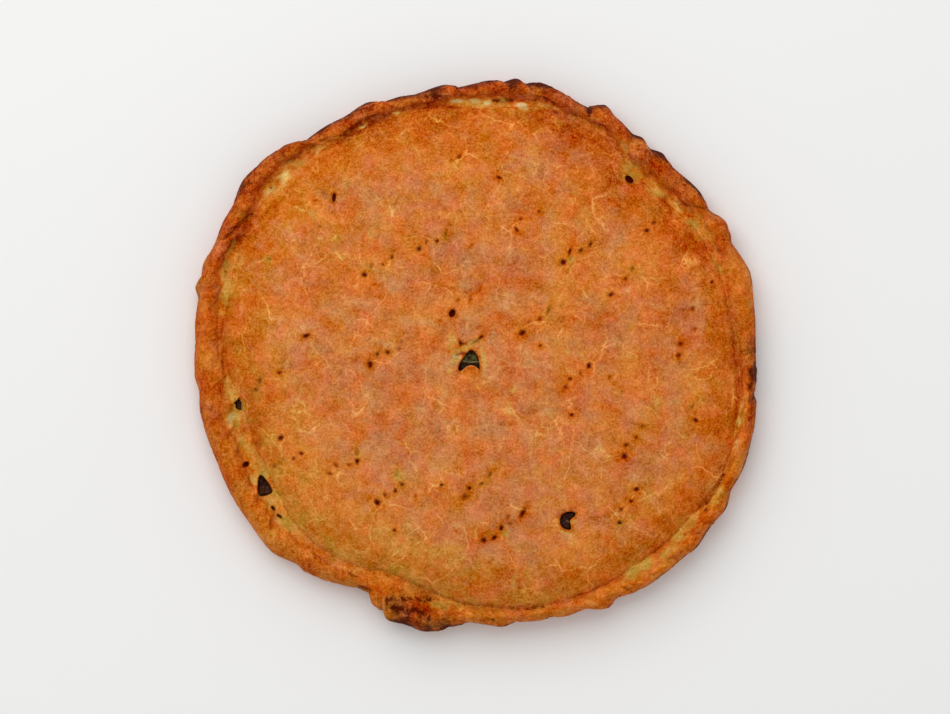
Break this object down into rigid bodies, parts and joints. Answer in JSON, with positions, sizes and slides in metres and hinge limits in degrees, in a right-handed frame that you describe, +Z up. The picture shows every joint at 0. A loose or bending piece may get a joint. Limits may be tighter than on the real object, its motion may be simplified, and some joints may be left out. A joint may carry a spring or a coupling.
{
  "type": "salt cod empanada",
  "caption": "Whole round salt cod pie with a domed, fork-pricked lid, torn steam vents that show dark filling, and a hand-turned rope edge with scorched folds.",
  "frame": {"origin": "middle of the flat base, under the middle of the pie's extent", "axes": "+Z up out of the lid, +X to the right and +Y away from a viewer who looks down on the pie with its large vent in the middle and the small one at the lower right"},
  "size_m": [0.3302, 0.3254, 0.0386],
  "materials": {
    "crust": "baked bread-dough crust, orange-brown with paprika-tinted crackle, satin on the lid and scorched on the folds",
    "dark_filling": "moist, near-black stewed onion and raisin filling with small glints",
    "green_filling": "moist olive-green filling in deep shade"
  },
  "bodies": {
    "root": {"crust": "crust", "filling_centre_vent": "green_filling", "filling_side_vent": "dark_filling", "filling_rim_gap_left": "dark_filling", "filling_rim_gap_lower": "dark_filling"}
  },
  "joints": []
}
